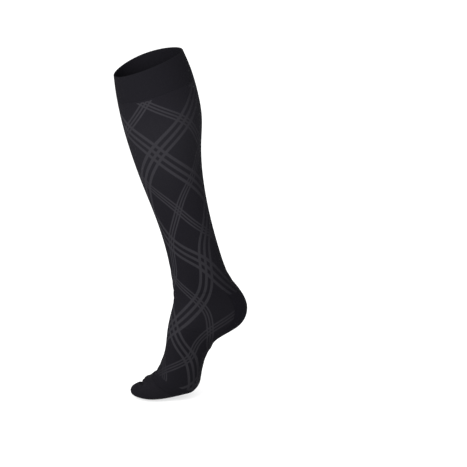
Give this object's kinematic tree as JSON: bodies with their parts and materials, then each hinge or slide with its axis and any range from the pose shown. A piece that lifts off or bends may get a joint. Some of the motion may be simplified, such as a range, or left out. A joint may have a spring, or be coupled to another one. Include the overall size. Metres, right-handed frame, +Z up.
{
  "type": "compression stocking",
  "caption": "Knee-high compression stocking, filled out as worn with the heel raised: open mouth, hollow leg, heel cup, foot and closed toe.",
  "frame": {"origin": "middle of the mouth, where the wearer's leg goes in", "axes": "+Z up, -X towards the toes, +Y across the leg; both sides of y = 0 are the same"},
  "size_m": [0.2054, 0.1196, 0.5574],
  "materials": {
    "welt_knit": "matt elastic knit, folded double",
    "leg_knit": "matt fine knit with charcoal crossing lines",
    "heel_knit": "matt plush knit",
    "toe_knit": "matt plush knit"
  },
  "bodies": {
    "root": {"welt": "welt_knit", "leg": "leg_knit", "heel": "heel_knit", "foot": "leg_knit", "toe": "toe_knit"}
  },
  "joints": []
}
